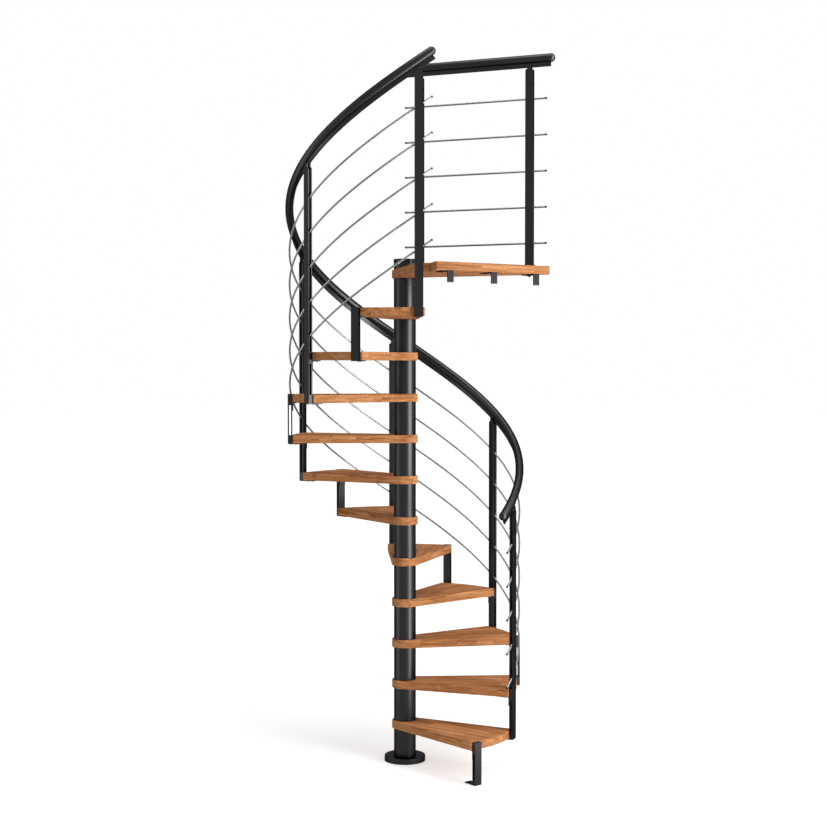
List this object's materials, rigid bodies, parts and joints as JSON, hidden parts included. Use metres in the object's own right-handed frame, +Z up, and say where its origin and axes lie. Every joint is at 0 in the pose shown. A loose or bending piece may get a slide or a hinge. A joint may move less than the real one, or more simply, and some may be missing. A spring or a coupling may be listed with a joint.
{
  "type": "spiral staircase",
  "caption": "Spiral stair with wooden treads around a black steel column, flat-bar posts, a helical handrail with thin rods, and a landing with a straight railing.",
  "frame": {"origin": "centre of the column's foot, level with the underside of the base disc, on the lower floor", "axes": "+Z up along the column; -Y faces the viewer; +X to the right, where the first step starts"},
  "size_m": [1.3531, 1.3113, 3.588],
  "materials": {
    "wood": "oiled beech lamellae, satin",
    "black_steel": "black powder coat, satin",
    "stainless_rod": "brushed stainless"
  },
  "bodies": {
    "root": {"base_flange": "black_steel", "column_cap": "black_steel", "column_tubes": "black_steel", "foot_bracket": "black_steel", "landing": "wood", "landing_brackets": "black_steel", "landing_handrail": "black_steel", "landing_post_left": "black_steel", "landing_post_right": "black_steel", "landing_rail_fin": "black_steel", "landing_rods": "stainless_rod", "post_01": "black_steel", "post_03": "black_steel", "post_05": "black_steel", "post_07": "black_steel", "post_09": "black_steel", "post_11": "black_steel", "rail_end_caps": "black_steel", "spacer_02": "black_steel", "spacer_04": "black_steel", "spacer_06": "black_steel", "spacer_08": "black_steel", "spacer_10": "black_steel", "spiral_handrail": "black_steel", "spiral_rail_fin": "black_steel", "spiral_rod_1": "stainless_rod", "spiral_rod_2": "stainless_rod", "spiral_rod_3": "stainless_rod", "spiral_rod_4": "stainless_rod", "spiral_rod_5": "stainless_rod", "tread_01": "wood", "tread_02": "wood", "tread_03": "wood", "tread_04": "wood", "tread_05": "wood", "tread_06": "wood", "tread_07": "wood", "tread_08": "wood", "tread_09": "wood", "tread_10": "wood", "tread_11": "wood", "tread_brackets": "black_steel"}
  },
  "joints": []
}
